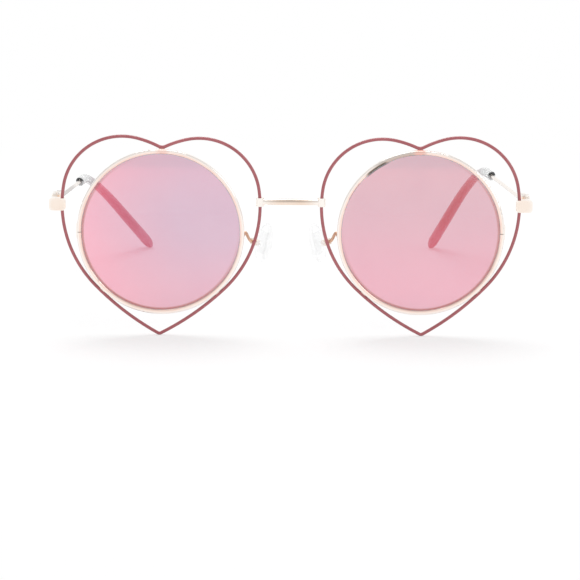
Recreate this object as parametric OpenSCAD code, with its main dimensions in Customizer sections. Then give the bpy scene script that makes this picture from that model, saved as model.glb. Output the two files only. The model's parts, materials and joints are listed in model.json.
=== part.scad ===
// Sunglasses with round lenses, each inside a heart outline of enamelled wire.
// Millimetres. X runs across the front, the front faces -Y, Z is up and the table is at Z 0.
// Left is the wearer's left, on the side of +X.

/* [Hearts] */
// Distance between the middles of the two hearts
heart_pitch = 78.3; // [77:0.1:82]
// Lean of the hearts towards the nose, in degrees
heart_tilt = 1.3; // [0.5:0.1:2]
// Diameter of the heart wire
wire_d = 1; // [0.9:0.05:1.2]
// Radius of the small bend in the notch
notch_bend = 2.7; // [2:0.1:3.5]
// Turn of the small bend in the notch, in degrees
notch_turn = 25.6; // [23:0.2:27]
// Radius of the wire between the notch and the top of a lobe
inner_bend = 30.6; // [28:0.1:33]
// Turn of the wire between the notch and the top of a lobe, in degrees
inner_turn = 12.4; // [11:0.1:14]
// Radius of the round part of a lobe
lobe_bend = 18; // [17:0.1:19]
// Turn of the round part of a lobe, in degrees
lobe_turn = 93.8; // [92:0.2:95]
// Radius of the flank below a lobe
flank_bend = 35.5; // [33.5:0.1:37]
// Turn of the flank below a lobe, in degrees
flank_turn = 54.3; // [52.5:0.1:56]
// Radius of the long lower side
lower_bend = 82.2; // [78:0.2:87]
// Turn of the long lower side, in degrees
lower_turn = 16.5; // [15.5:0.1:17.5]

/* [Rims and lenses] */
// Width of a rim seen from the front
rim_wide = 1.35; // [1.25:0.05:1.7]
// Depth of a rim from front to back
rim_deep = 2.4; // [2.2:0.1:3]
// Rounding of a rim's edges
rim_round = 0.45; // [0.2:0.05:0.55]
// Thickness of a lens
lens_thick = 1.8; // [1.4:0.1:2]
// Radius of the lens curve
lens_curve = 265; // [130:5:400]
// Depth of the groove that holds a lens
groove_deep = 0.55; // [0.4:0.05:0.7]
// Width of the groove at its mouth
groove_wide = 1.1; // [0.9:0.05:1.3]
// Height of the closing block behind a rim
close_tall = 4.4; // [4:0.1:5.5]
// Width of the closing block
close_wide = 1.65; // [1.55:0.1:2.05]
// Depth of the closing block behind the rim
close_deep = 1.8; // [1.7:0.1:2.4]
// Cut through the rim between the halves of the block
close_cut = 0.2; // [0.15:0.05:0.4]

/* [Bridge] */
// Diameter of the bridge bar
bar_d = 1.9; // [1.6:0.05:2]
// Outside diameter of the collars around the heart wires
collar_d = 2.5; // [2.4:0.05:3]
// Height of the collars
collar_tall = 2.6; // [2.4:0.1:3.5]
// Bridge bar above the widest part of the hearts
bridge_lift = 1.3; // [0.8:0.1:2]

/* [End pieces and hinges] */
// Height of an end piece
end_tall = 3.7; // [3.6:0.1:4.4]
// End pieces above the widest part of the hearts
end_lift = 0.7; // [0.2:0.1:1]
// Depth of the block around the heart wire
end_deep = 2.6; // [2.4:0.1:3]
// How far the block reaches outside the middle of the wire
end_out = 3.9; // [3.7:0.1:4.4]
// How far the block reaches inside the middle of the wire
end_in = 1.1; // [1:0.05:1.4]
// Width of the lug from the block back to the hinge
lug_wide = 2.3; // [2:0.1:2.5]
// Rounding of the edges of an end piece
end_round = 0.6; // [0.2:0.05:0.65]
// Rounding of its corners, seen from the front
end_soft = 0.9; // [0.6:0.05:0.95]
// Set back of its hinge lug from its sides
lug_inset = 0.15; // [0.1:0.05:0.25]
// Hinge pin behind the middle of the front
hinge_back = 7; // [6.5:0.1:9]
// Outside diameter of the knuckles
knuckle_d = 3; // [2.8:0.05:3.2]
// Height of the temple's knuckle
knuckle_tall = 1.3; // [1.1:0.05:1.5]
// Diameter of the hinge screw
hinge_screw_d = 1.4; // [1.2:0.05:1.5]
// Diameter of the head of the hinge screw
hinge_head_d = 2.2; // [2:0.05:2.5]

/* [Nose pads] */
// Length of a pad
pad_long = 12.4; // [11:0.1:13.5]
// Width of a pad
pad_wide = 7; // [6:0.1:7.6]
// Thickness of a pad
pad_thick = 2.3; // [2:0.1:2.7]
// Middle of a pad's back, out from the middle of the front
pad_out = 8.7; // [8.3:0.1:9.6]
// Middle of a pad's back, behind the middle of the front
pad_back = 7.6; // [7:0.1:8.5]
// Middle of a pad's back, above the table
pad_high = 27.4; // [25.5:0.1:28.5]
// Turn of the pads towards the back, in degrees
pad_turn = 35; // [28:1:40]
// Spread of the pads towards the bottom, in degrees
pad_spread = 13; // [8:1:18]
// Diameter of a pad arm
arm_d = 0.95; // [0.8:0.05:1.1]
// Diameter of a pad screw
pad_screw_d = 0.8; // [0.7:0.05:0.9]

/* [Temples] */
// Diameter of the temple wire
temple_d = 1.2; // [1.1:0.05:1.4]
// Distance from the hinge to the ear bend
bend_start = 78.4; // [76:0.2:82]
// Radius of the ear bend
ear_bend = 46.5; // [43:0.5:50]
// Turn of the ear bend, in degrees
ear_turn = 49.2; // [46:0.2:52]
// Roll of the left ear bend towards the head, in degrees
ear_roll_left = 21.6; // [18:0.2:26]
// Roll of the right ear bend towards the head, in degrees
ear_roll_right = 34.4; // [30:0.2:37]
// Slope of the left temple down to the back, in degrees
temple_drop_left = 3; // [2.6:0.1:3.6]
// Slope of the right temple down to the back, in degrees
temple_drop_right = 5.1; // [4.4:0.1:5.6]
// Slope of the left temple towards the head, in degrees
temple_toe_left = 2.9; // [1.5:0.1:3.4]
// Slope of the right temple towards the head, in degrees
temple_toe_right = 0.1; // [0.1:0.1:1]
// Length of a sleeve
sleeve_long = 76; // [70:0.5:77]
// Height of a sleeve at its front
sleeve_tall = 3; // [2.8:0.1:3.5]
// Height of a sleeve near its tip
sleeve_tip_tall = 5; // [4.4:0.1:5.6]
// Thickness of a sleeve at its front
sleeve_thick = 2.5; // [2.4:0.05:2.8]
// Thickness of a sleeve near its tip
sleeve_tip_thick = 3.6; // [3.2:0.05:4]

/* [Fits] */
// Space around the heart wire in collars and end pieces
wire_play = 0.05; // [0.03:0.01:0.08]
// Space between a lens and its groove
lens_play = 0.06; // [0.03:0.01:0.1]
// Solder gap between a rim and the heart wire
solder_gap = 0.12; // [0.08:0.01:0.2]
// Space around a screw in its holes
screw_play = 0.05; // [0.03:0.01:0.08]
// Space above and below a turning knuckle or pad post
side_play = 0.05; // [0.03:0.01:0.08]
// Space at the stop of an open temple
stop_play = 0.03; // [0.02:0.01:0.06]
// Space around the temple wire in its sleeve
sleeve_play = 0.08; // [0.05:0.01:0.12]
// Space between a pad and the plate inside it
insert_play = 0.02; // [0.01:0.01:0.04]

/* [Smoothness] */
// Segments around round shapes
round_steps = 72; // [48:8:120]
// Segments around sleeves
sleeve_steps = 32; // [24:4:40]
// Segments around pads
pad_steps = 36; // [24:4:48]
// Segments around pad arms
arm_steps = 20; // [16:4:28]

/* [Hidden] */
$fn = round_steps;

// The half outline of a heart runs from the notch over a lobe to the tip: radius, signed turn.
wire_r = wire_d / 2;
seam_share = 1.06;
seam_r = wire_r * seam_share;
seam_long = 0.7 * wire_r;
bend_trim = 0.1 * wire_r;
heart_turns = [[notch_bend, notch_turn], [inner_bend, -inner_turn], [lobe_bend, -lobe_turn],
    [flank_bend, -flank_turn], [lower_bend, -lower_turn]];
function heading(k) = k == 0 ? 0 : heading(k - 1) + heart_turns[k - 1][1];
function signed(k) = sign(heart_turns[k][1]) * heart_turns[k][0];
function arc_middle(k) = knot(k) + signed(k) * [-sin(heading(k)), cos(heading(k))];
function knot(k) = k == 0 ? [0, 0]
    : arc_middle(k - 1) + signed(k - 1) * [sin(heading(k)), -cos(heading(k))];
last = len(heart_turns);
tip_bend = -knot(last)[0] / sin(heading(last));
tip_turn = 180 + heading(last);
tip_middle = knot(last) + tip_bend * [sin(heading(last)), -cos(heading(last))];
heart_x = heart_pitch / 2;

// The rim is the largest circle that stays a solder gap away from the notch and the lower sides.
lower_middle = arc_middle(4);
rim_reach = (lower_bend * lower_bend - lower_middle * lower_middle)
    / (2 * (lower_middle[1] + lower_bend));
rim_r = rim_reach - wire_r - solder_gap;
view_r = rim_r - rim_wide;

// A heart leans about the middle of its rim, and its tip stands on the table.
tip_fall = tip_bend - tip_middle[1] - rim_reach;
rim_high = (tip_fall + seam_r) * cos(heart_tilt) + seam_long / 2 * sin(heart_tilt);
heart_lift = rim_high + rim_reach;
notch_high = heart_lift;
tip_high = heart_lift + tip_middle[1] - tip_bend;
solder_turn = atan2(-rim_reach - lower_middle[1], -lower_middle[0]);
solder_spot = lower_middle + [0, heart_lift] + lower_bend * [cos(solder_turn), sin(solder_turn)];
function leant(p) = [0, rim_high] + [p[0] * cos(heart_tilt) - (p[1] - rim_high) * sin(heart_tilt),
    p[0] * sin(heart_tilt) + (p[1] - rim_high) * cos(heart_tilt)];
flank_outer = leant(arc_middle(3) + [0, heart_lift]);
flank_inner = leant([-arc_middle(3)[0], arc_middle(3)[1] + heart_lift]);
side_high = flank_outer[1];
side_x = heart_x + flank_outer[0] + flank_bend;

// Lens
over = wire_d;
lens_r = view_r + groove_deep - lens_play;
lens_back = sqrt(lens_curve * lens_curve - view_r * view_r);
lens_front = lens_curve + lens_thick / 2 - lens_back;
bevel_slope = groove_wide / 2 / groove_deep;
bevel_from = view_r - lens_play - over / 2;
bevel_half = lens_thick * 0.38;

// Small details as shares of the main sizes
groove_share = 0.12;
solder_reach = wire_r + solder_gap + rim_round;
solder_deep = 0.9 * wire_d;
solder_long = 1.6 * wire_d;
slot_wide_share = 0.26;
slot_deep_share = 0.4;
head_tall_share = 0.24;
cap_share = 0.9;

// Closing block of a rim
close_from = rim_deep / 2 - rim_round;
close_screw_d = pad_screw_d + wire_play;
close_head_d = close_wide - rim_round;
close_head_tall = close_head_d * head_tall_share;
close_middle = rim_r - close_wide / 2 + rim_round;
close_axis = rim_deep / 2 + close_deep / 2;

// Hinge
hinge_x = side_x + end_out - knuckle_d / 2 + stop_play;
hinge_high = side_high + end_lift;
bridge_high = flank_inner[1] + bridge_lift;
bridge_x = heart_x + flank_inner[0] - sqrt(flank_bend * flank_bend - bridge_lift * bridge_lift);
knuckle_r = knuckle_d / 2;
slot_tall = knuckle_tall + 2 * side_play;
tooth_reach = 1.08 * knuckle_r;
knuckle_web = 1.5 * knuckle_r;
lug_end = hinge_back - tooth_reach - stop_play;
lug_middle = side_x + end_out - lug_inset - lug_wide / 2;
tooth_wide = 0.8 * knuckle_r;
hinge_head_tall = hinge_head_d * head_tall_share;

// Nose pads
post_wide = 1.2 * pad_screw_d;
ear_thick = 0.6 * pad_screw_d;
post_gap = post_wide / 2 + side_play;
ear_r = 1.1 * pad_screw_d;
post_r = pad_screw_d;
pad_pin = 2.9 * pad_screw_d;
box_back = pad_pin + ear_r + side_play;
box_plate = 0.7 * pad_screw_d;
box_wide = 2 * (post_gap + ear_thick);
plate_long = 0.55 * pad_long;
plate_wide = 0.5 * pad_wide;
plate_thick = 0.6 * pad_screw_d;
pad_head_tall = 0.5 * pad_screw_d;

// Rotations as functions, in OpenSCAD's order, so that points can be placed by calculation.
function about_x(p, a) = [p[0], p[1] * cos(a) - p[2] * sin(a), p[1] * sin(a) + p[2] * cos(a)];
function about_y(p, a) = [p[0] * cos(a) + p[2] * sin(a), p[1], -p[0] * sin(a) + p[2] * cos(a)];
function about_z(p, a) = [p[0] * cos(a) - p[1] * sin(a), p[0] * sin(a) + p[1] * cos(a), p[2]];
function unit(v) = v / norm(v);

// Pad frame: its Z is the pad's face towards the nose, its X is the pad screw.
pad_spot = [pad_out, pad_back, pad_high];
function pad_way(p) = about_y(about_z([-p[2], -p[0], p[1]], -pad_turn), -pad_spread);
box_spot = pad_spot + pad_way([0, 0, -box_back - box_plate]);
arm_start_turn = 188;
arm_ring = rim_r - rim_wide / 2;
arm_start = [heart_x + arm_ring * cos(arm_start_turn), rim_deep / 2,
    rim_high + arm_ring * sin(arm_start_turn)];
arm_long = norm(box_spot - arm_start);
arm_rise_share = 1.35;
arm_path = [arm_start, arm_start + [0, arm_long * 0.7, 0],
    (arm_start + box_spot) / 2 + [0, 0, arm_long * arm_rise_share],
    box_spot + pad_way([0, 0, -arm_long * 0.45]), box_spot];
arm_stations = 28;

// Temple path in its own plane: distance along it gives forward, sideways and turn.
function bend_at(s) = (s - bend_start) / ear_bend * 180 / PI;
bend_long = ear_bend * ear_turn * PI / 180;
function path_at(s) = s <= bend_start ? [s, 0, 0]
    : s <= bend_start + bend_long
        ? [bend_start + ear_bend * sin(bend_at(s)), -ear_bend * (1 - cos(bend_at(s))), bend_at(s)]
        : [bend_start + ear_bend * sin(ear_turn) + (s - bend_start - bend_long) * cos(ear_turn),
            -ear_bend * (1 - cos(ear_turn)) - (s - bend_start - bend_long) * sin(ear_turn), ear_turn];
plate_end = hinge_back;
function ear_roll(side) = side > 0 ? ear_roll_left : ear_roll_right;
function temple_drop(side) = side > 0 ? temple_drop_left : temple_drop_right;
function temple_toe(side) = side > 0 ? temple_toe_left : temple_toe_right;
function placed(p, side) = [hinge_x, hinge_back, hinge_high]
    + about_z(about_x(about_y(p, ear_roll(side)), -temple_drop(side)), temple_toe(side));

// Sleeve rings, counted back from the tip so that a longer tail only moves them.
temple_r = temple_d / 2;
bore_r = temple_r + sleeve_play;
sleeve_cap = sleeve_tip_tall * cap_share;
cap_rings = 9;
body_rings = 22;
lip_rings = 4;
lip = sleeve_thick / 2 - bore_r;
core_gap = 2.4 * sleeve_tip_tall;
function ease(t) = t * t * (3 - 2 * t);
function grow(e) = ease(min(1, max(0, 1 - (e - sleeve_cap) / (sleeve_long - sleeve_cap))));
function cap_scale(e) = e >= sleeve_cap ? 1 : sqrt(max(0, 1 - pow(1 - e / sleeve_cap, 2)));
function lip_trim(e) = lip * (1 - sqrt(max(0, 1 - pow(1 - min(1, (sleeve_long - e) / lip), 2))));
ring_list = concat([for (i = [0:lip_rings - 1]) sleeve_long - lip * (1 - cos(90 * i / lip_rings))],
    [for (i = [0:body_rings]) sleeve_long - lip - (sleeve_long - lip - sleeve_cap) * i / body_rings],
    [for (i = [1:cap_rings - 1]) sleeve_cap * (1 - sin(90 * i / cap_rings))]);
bore_list = [for (i = [0:body_rings]) sleeve_long - (sleeve_long - core_gap) * i / body_rings];
function ring_point(s, wide, tall, a) = let (q = path_at(s))
    [wide * cos(a), q[0] + tall * sin(a) * sin(q[2]), q[1] + tall * sin(a) * cos(q[2])];
function sleeve_outer(total) = [for (e = ring_list) for (j = [0:sleeve_steps - 1])
    ring_point(total - e,
        (sleeve_thick / 2 + (sleeve_tip_thick - sleeve_thick) / 2 * grow(e) - lip_trim(e)) * cap_scale(e),
        (sleeve_tall / 2 + (sleeve_tip_tall - sleeve_tall) / 2 * grow(e) - lip_trim(e)) * cap_scale(e),
        360 * j / sleeve_steps)];
function lowest(total, side) = min([for (p = sleeve_outer(total)) placed(p, side)[2]]);
function path_point(s) = [0, path_at(s)[0], path_at(s)[1]];
tail_trial = bend_start + bend_long + ear_bend / 2;
function solved(side) = let (fall = placed(path_point(tail_trial + 1), side)[2]
    - placed(path_point(tail_trial), side)[2]) tail_trial - lowest(tail_trial, side) / fall;
long_left = solved(1);
long_right = solved(-1);
function temple_long(side) = side > 0 ? long_left : long_right;

// The origin is under the middle of the whole, so everything moves forwards by half its depth.
rearmost = max([for (side = [-1, 1]) for (p = sleeve_outer(temple_long(side))) placed(p, side)[1]]);
middle_y = (rearmost - lens_front) / 2;

module in_frame() translate([0, -middle_y, 0]) children();

module on_side(side) {
    if (side > 0) children();
    else mirror([1, 0, 0]) children();
}

// Stands a flat XY shape up in the plane of the front.
module upright() rotate([90, 0, 0]) children();

module round_bar(wide, tall, r) {
    square([wide - 2 * r, tall], center = true);
    square([wide, tall - 2 * r], center = true);
    for (x = [-1, 1])
        for (y = [-1, 1])
            translate([x * (wide / 2 - r), y * (tall / 2 - r)])
                circle(r);
}

// One bend of wire, a little short at both ends: middle, radius, start angle and signed turn.
module wire_bend(middle, r, from, turn, wire) {
    trim = bend_trim / r * 180 / PI;
    translate([middle[0], middle[1], 0])
        rotate([0, 0, min(from, from + turn) + trim])
            rotate_extrude(angle = abs(turn) - 2 * trim)
                translate([r, 0])
                    circle(wire);
}

// The bends meet inside short seams, because end faces that only touch don't always join.
module seam(at, turn, r) {
    translate([at[0], at[1], 0])
        rotate([0, 0, turn])
            rotate([0, 90, 0])
                cylinder(r = r, h = seam_long, center = true);
}

module heart_bend(k, wire) {
    translate([0, heart_lift, 0])
        if (k < last)
            wire_bend(arc_middle(k), heart_turns[k][0], heading(k) - sign(heart_turns[k][1]) * 90,
                heart_turns[k][1], wire);
        else
            wire_bend(tip_middle, tip_bend, heading(last) + 90, -tip_turn, wire);
}

// Leans a heart towards the nose.
module leaning() {
    translate([0, 0, rim_high])
        rotate([0, -heart_tilt, 0])
            translate([0, 0, -rim_high])
                children();
}

module heart_wire(side) {
    on_side(side)
        translate([heart_x, 0, 0])
            leaning() upright() {
                for (half = [0, 1])
                    mirror([half, 0, 0]) {
                        for (k = [0:last])
                            heart_bend(k, wire_r);
                        for (k = [1:last])
                            seam(knot(k) + [0, heart_lift], heading(k), seam_r);
                    }
                seam([0, notch_high], 0, seam_r);
                seam([0, tip_high], 0, seam_r);
            }
}

module rim(side) {
    on_side(side)
        translate([heart_x, 0, rim_high])
            difference() {
                union() {
                    upright()
                        rotate_extrude()
                            difference() {
                                translate([rim_r - rim_wide / 2, 0])
                                    round_bar(rim_wide, rim_deep, rim_round);
                                lens_groove();
                            }
                    translate([close_middle - close_wide / 2, close_from, -close_tall / 2])
                        cube([close_wide, close_deep + rim_round, close_tall]);
                }
                translate([view_r - over, -rim_deep, -close_cut / 2])
                    cube([close_wide + rim_wide + over, close_deep + 2 * rim_deep, close_cut]);
                translate([close_middle, close_axis, -close_tall])
                    cylinder(r = close_screw_d / 2 + screw_play, h = 2 * close_tall);
            }
}

module lens_groove() {
    wide = groove_wide / 2;
    polygon([[view_r + groove_deep, 0], [view_r - over, wide * (1 + over / groove_deep)],
        [view_r - over, -wide * (1 + over / groove_deep)]]);
}

module screw(shank, long, head, head_tall) {
    difference() {
        union() {
            translate([0, 0, -long])
                cylinder(r = shank / 2, h = long);
            cylinder(r = head / 2, h = head_tall);
        }
        translate([-head, -head * slot_wide_share / 2, head_tall * (1 - slot_deep_share)])
            cube([2 * head, head * slot_wide_share, head_tall]);
    }
}

module lens(side) {
    on_side(side)
        translate([heart_x, 0, rim_high])
            upright()
                rotate_extrude() {
                    intersection() {
                        translate([0, -lens_back])
                            difference() {
                                circle(lens_curve + lens_thick / 2);
                                circle(lens_curve - lens_thick / 2);
                            }
                        translate([0, -rim_deep * 2])
                            square([view_r - lens_play, rim_deep * 4 + lens_front]);
                    }
                    intersection() {
                        polygon([[lens_r, 0], [bevel_from, (lens_r - bevel_from) * bevel_slope],
                            [bevel_from, -(lens_r - bevel_from) * bevel_slope]]);
                        translate([bevel_from, -bevel_half])
                            square([over + groove_deep, 2 * bevel_half]);
                    }
                }
}

module braze_joints() {
    color("Gold")
        in_frame()
            for (side = [-1, 1])
                on_side(side)
                    translate([heart_x, 0, 0]) leaning() {
                        braze([0, notch_high], 90, 0);
                        for (half = [0, 1])
                            mirror([half, 0, 0])
                                braze(solder_spot, solder_turn, 4);
                    }
}

// Solder between the rim and one bend of the heart, cut to both surfaces.
module braze(spot, turn, k) {
    $fn = 3 * round_steps;
    difference() {
        translate([spot[0], 0, spot[1]])
            rotate([0, -turn, 0])
                translate([-solder_reach, -solder_deep / 2, -solder_long / 2])
                    cube([solder_reach, solder_deep, solder_long]);
        upright() {
            heart_bend(k, wire_r);
            if (k == 0)
                mirror([1, 0, 0])
                    heart_bend(k, wire_r);
            if (k == 0)
                seam([0, notch_high], 0, seam_r);
        }
        translate([0, rim_deep, rim_high])
            upright()
                cylinder(r = rim_r, h = 2 * rim_deep);
    }
}

// The space that a flank of the heart wire takes in a collar or an end piece.
module flank_hole(inner) {
    leaning()
        mirror([inner, 0, 0])
            upright()
                heart_bend(3, wire_r + wire_play);
}

module bridge() {
    color("Gold")
        in_frame()
            difference() {
                union() {
                    translate([-bridge_x, 0, bridge_high])
                        rotate([0, 90, 0])
                            cylinder(r = bar_d / 2, h = 2 * bridge_x);
                    for (x = [-1, 1])
                        translate([x * bridge_x, 0, bridge_high - collar_tall / 2])
                            cylinder(r = collar_d / 2, h = collar_tall);
                }
                for (side = [-1, 1])
                    on_side(side)
                        translate([heart_x, 0, 0])
                            flank_hole(1);
            }
}

module block(wide, deep, tall, r) {
    linear_extrude(tall, center = true)
        round_bar(wide, deep, r);
}

module end_piece(side) {
    on_side(side)
        difference() {
            translate([0, 0, hinge_high])
                union() {
                    translate([side_x + (end_out - end_in) / 2, 0, 0])
                        intersection() {
                            block(end_out + end_in, end_deep, 2 * end_tall, end_round);
                            upright()
                                block(end_out + end_in, end_tall, 2 * end_deep, end_soft);
                        }
                    translate([lug_middle, (lug_end + end_round) / 2, 0])
                        upright()
                            block(lug_wide, end_tall - 2 * lug_inset, lug_end - end_round, end_soft);
                    for (z = [-1, 1])
                        translate([hinge_x, hinge_back, z * (slot_tall + end_tall) / 4])
                            knuckle((end_tall - slot_tall) / 2);
                }
            translate([heart_x, 0, 0])
                flank_hole(0);
            translate([hinge_x, hinge_back, hinge_high - end_tall])
                cylinder(r = hinge_screw_d / 2 + screw_play, h = 2 * end_tall);
        }
}

// A knuckle with its bridge forwards to the lug, between two flat faces.
module knuckle(tall) {
    cylinder(r = knuckle_r, h = tall, center = true);
    translate([-knuckle_web / 2, -tooth_reach - stop_play - end_round, -tall / 2])
        cube([knuckle_web, tooth_reach + stop_play + end_round, tall]);
}

module temple(side) {
    on_side(side) {
        difference() {
            union() {
                translate([hinge_x, hinge_back, hinge_high])
                    cylinder(r = knuckle_r, h = knuckle_tall, center = true);
                translate([hinge_x, hinge_back - tooth_reach, hinge_high - knuckle_tall / 2])
                    cube([tooth_wide, tooth_reach, knuckle_tall]);
                translate([hinge_x - temple_d * 0.7, hinge_back, hinge_high - knuckle_tall / 2])
                    cube([temple_d * 1.4, 2 * knuckle_r, knuckle_tall]);
                translate([hinge_x, hinge_back + 2 * knuckle_r + 2 * temple_d, hinge_high])
                    cube([temple_d * 1.4, 4 * temple_d + knuckle_r, 0.72 * end_tall], center = true);
                temple_line(side)
                    upright_path()
                        wire_run(temple_long(side) - core_gap);
            }
            translate([hinge_x, hinge_back, hinge_high - end_tall])
                cylinder(r = hinge_screw_d / 2 + screw_play, h = 2 * end_tall);
        }
    }
}

module temple_line(side) {
    translate([hinge_x, hinge_back, hinge_high])
        rotate([-temple_drop(side), 0, temple_toe(side)])
            rotate([0, ear_roll(side), 0])
                children();
}

// Turns the flat path, drawn forwards along X and down along -Y, into the plane of the temple.
module upright_path() rotate([90, 0, 90]) children();

module wire_run(core_long) {
    start = 2 * knuckle_r + 2 * temple_d;
    translate([start, 0, 0])
        rotate([0, 90, 0])
            cylinder(r1 = temple_r * 1.7, r2 = temple_r, h = 6 * temple_d);
    translate([bend_start, -ear_bend, 0]) {
        translate([-bend_trim, ear_bend, 0])
            rotate([0, -90, 0])
                cylinder(r = temple_r, h = bend_start - start - 6 * temple_d);
        seam([0, ear_bend], 0, temple_r * seam_share);
        wire_bend([0, 0], ear_bend, 90, -ear_turn, temple_r);
        rotate([0, 0, -ear_turn]) {
            seam([0, ear_bend], 0, temple_r * seam_share);
            translate([bend_trim, ear_bend, 0])
                rotate([0, 90, 0])
                    cylinder(r = temple_r, h = core_long - bend_start - bend_long);
        }
    }
}

// Triangles between rings of n points; rings follow each other, outward normals.
function ring_faces(first, rings, n) = [for (i = [0:rings - 2]) for (j = [0:n - 1])
    let (a = first + i * n + j, b = first + i * n + (j + 1) % n)
        for (t = [[a, b, b + n], [a, b + n, a + n]]) t];

module sleeve(side) {
    outer = sleeve_outer(temple_long(side));
    n = sleeve_steps;
    rings = len(ring_list);
    inner = [for (e = bore_list) for (j = [0:n - 1])
        ring_point(temple_long(side) - e, bore_r, bore_r, 360 * j / n)];
    bores = len(bore_list);
    start = len(outer);
    tip = start + len(inner);
    faces = concat(ring_faces(0, rings, n),
        [for (f = ring_faces(start, bores, n)) [f[0], f[2], f[1]]],
        [for (j = [0:n - 1]) for (t = [[j, start + j, (j + 1) % n],
            [(j + 1) % n, start + j, start + (j + 1) % n]]) t],
        [for (j = [0:n - 1]) [(rings - 1) * n + j, (rings - 1) * n + (j + 1) % n, tip]],
        [for (j = [0:n - 1])
            [start + (bores - 1) * n + (j + 1) % n, start + (bores - 1) * n + j, tip + 1]]);
    on_side(side)
        temple_line(side)
            polyhedron(points = concat(outer, inner,
                [path_point(temple_long(side)), path_point(temple_long(side) - core_gap)]), faces = faces);
}

// Pad arm
function bezier(p, t) = len(p) == 1 ? p[0]
    : bezier([for (i = [0:len(p) - 2]) p[i] * (1 - t) + p[i + 1] * t], t);
function bezier_way(p, t) = unit(bezier([for (i = [0:len(p) - 2]) p[i + 1] - p[i]], t));

module pad_arm(side) {
    n = arm_steps;
    aside = unit(cross([0, 1, 0], pad_way([0, 0, 1])));
    rings = [for (i = [0:arm_stations]) let (t = i / arm_stations, w = bezier_way(arm_path, t),
        u = unit(cross(w, cross(aside, w))), v = cross(w, u))
            for (j = [0:n - 1]) bezier(arm_path, t)
                + arm_d / 2 * (u * cos(360 * j / n) + v * sin(360 * j / n))];
    end = arm_stations * n;
    on_side(side)
        polyhedron(points = rings, faces = concat(
            [for (f = ring_faces(0, arm_stations + 1, n)) [f[0], f[2], f[1]]],
            [[for (j = [0:n - 1]) j]], [[for (j = [0:n - 1]) end + n - 1 - j]]));
}

module at_pad() {
    translate(pad_spot)
        rotate([0, -pad_spread, 0])
            rotate([0, 0, -pad_turn])
                rotate([90, 0, -90])
                    children();
}

module across() rotate([0, 90, 0]) children();

module pad_box(side) {
    on_side(side)
        at_pad()
            difference() {
                union() {
                    translate([-box_wide / 2, -ear_r, -box_back - box_plate])
                        cube([box_wide, 2 * ear_r, box_plate]);
                    for (x = [-1, 1])
                        translate([x * (post_gap + ear_thick / 2), 0, 0]) {
                            translate([-ear_thick / 2, -ear_r, -box_back - box_plate / 2])
                                cube([ear_thick, 2 * ear_r, box_back + box_plate / 2 - pad_pin]);
                            translate([-ear_thick / 2, 0, -pad_pin])
                                across()
                                    cylinder(r = ear_r, h = ear_thick);
                        }
                }
                translate([-box_wide, 0, -pad_pin])
                    across()
                        cylinder(r = pad_screw_d / 2 + screw_play, h = 2 * box_wide);
            }
}

module pad_insert(side) {
    on_side(side)
        at_pad()
            difference() {
                union() {
                    translate([-plate_wide / 2, -plate_long / 2, insert_play])
                        cube([plate_wide, plate_long, plate_thick]);
                    translate([-post_wide / 2, -post_r, -pad_pin])
                        cube([post_wide, 2 * post_r, pad_pin + insert_play + plate_thick / 2]);
                    translate([-post_wide / 2, 0, -pad_pin])
                        across()
                            cylinder(r = post_r, h = post_wide);
                }
                translate([-box_wide, 0, -pad_pin])
                    across()
                        cylinder(r = pad_screw_d / 2 + screw_play, h = 2 * box_wide);
            }
}

pad_rings = [[0.9, 0], [0.965, 0.06], [1, 0.2], [1, 0.36], [0.97, 0.56], [0.9, 0.74], [0.78, 0.87],
    [0.6, 0.95], [0.34, 0.99]];
pad_taper_share = 0.14;

module pad_body() {
    n = pad_steps;
    points = [for (r = pad_rings) for (j = [0:n - 1]) let (a = 360 * j / n)
        [r[0] * pad_wide / 2 * cos(a) * (1 - pad_taper_share * sin(a)), r[0] * pad_long / 2 * sin(a),
            r[1] * pad_thick]];
    top = len(pad_rings) - 1;
    polyhedron(points = concat(points, [[0, 0, pad_thick]]), faces = concat(
        [for (f = ring_faces(0, top + 1, n)) [f[0], f[2], f[1]]],
        [[for (j = [0:n - 1]) j]],
        [for (j = [0:n - 1]) [top * n + (j + 1) % n, top * n + j, (top + 1) * n]]));
}

module nose_pad(side) {
    pocket = plate_thick + 2 * insert_play;
    on_side(side)
        at_pad()
            difference() {
                pad_body();
                translate([-plate_wide / 2 - insert_play, -plate_long / 2 - insert_play, -pocket])
                    cube([plate_wide + 2 * insert_play, plate_long + 2 * insert_play, 2 * pocket]);
            }
}

module heart_wire_left() color("IndianRed") in_frame() heart_wire(1);
module heart_wire_right() color("IndianRed") in_frame() heart_wire(-1);
module rim_left() color("Gold") in_frame() rim(1);
module rim_right() color("Gold") in_frame() rim(-1);
module end_piece_left() color("Gold") in_frame() end_piece(1);
module end_piece_right() color("Gold") in_frame() end_piece(-1);
module lens_left() color("LightPink") in_frame() lens(1);
module lens_right() color("LightPink") in_frame() lens(-1);
module pad_arm_left() color("Gold") in_frame() pad_arm(1);
module pad_arm_right() color("Gold") in_frame() pad_arm(-1);
module pad_box_left() color("Gold") in_frame() pad_box(1);
module pad_box_right() color("Gold") in_frame() pad_box(-1);
module pad_insert_left() color("Silver") in_frame() pad_insert(1);
module pad_insert_right() color("Silver") in_frame() pad_insert(-1);
module nose_pad_left() color("AliceBlue") in_frame() nose_pad(1);
module nose_pad_right() color("AliceBlue") in_frame() nose_pad(-1);
module temple_left() color("Gold") in_frame() temple(1);
module temple_right() color("Gold") in_frame() temple(-1);
module sleeve_left() color("LightGray") in_frame() sleeve(1);
module sleeve_right() color("LightGray") in_frame() sleeve(-1);

module rim_screws() {
    color("Silver")
        in_frame()
            for (side = [-1, 1])
                on_side(side)
                    translate([heart_x + close_middle, close_axis, rim_high + close_tall / 2])
                        screw(close_screw_d, close_tall, close_head_d, close_head_tall);
}

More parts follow.
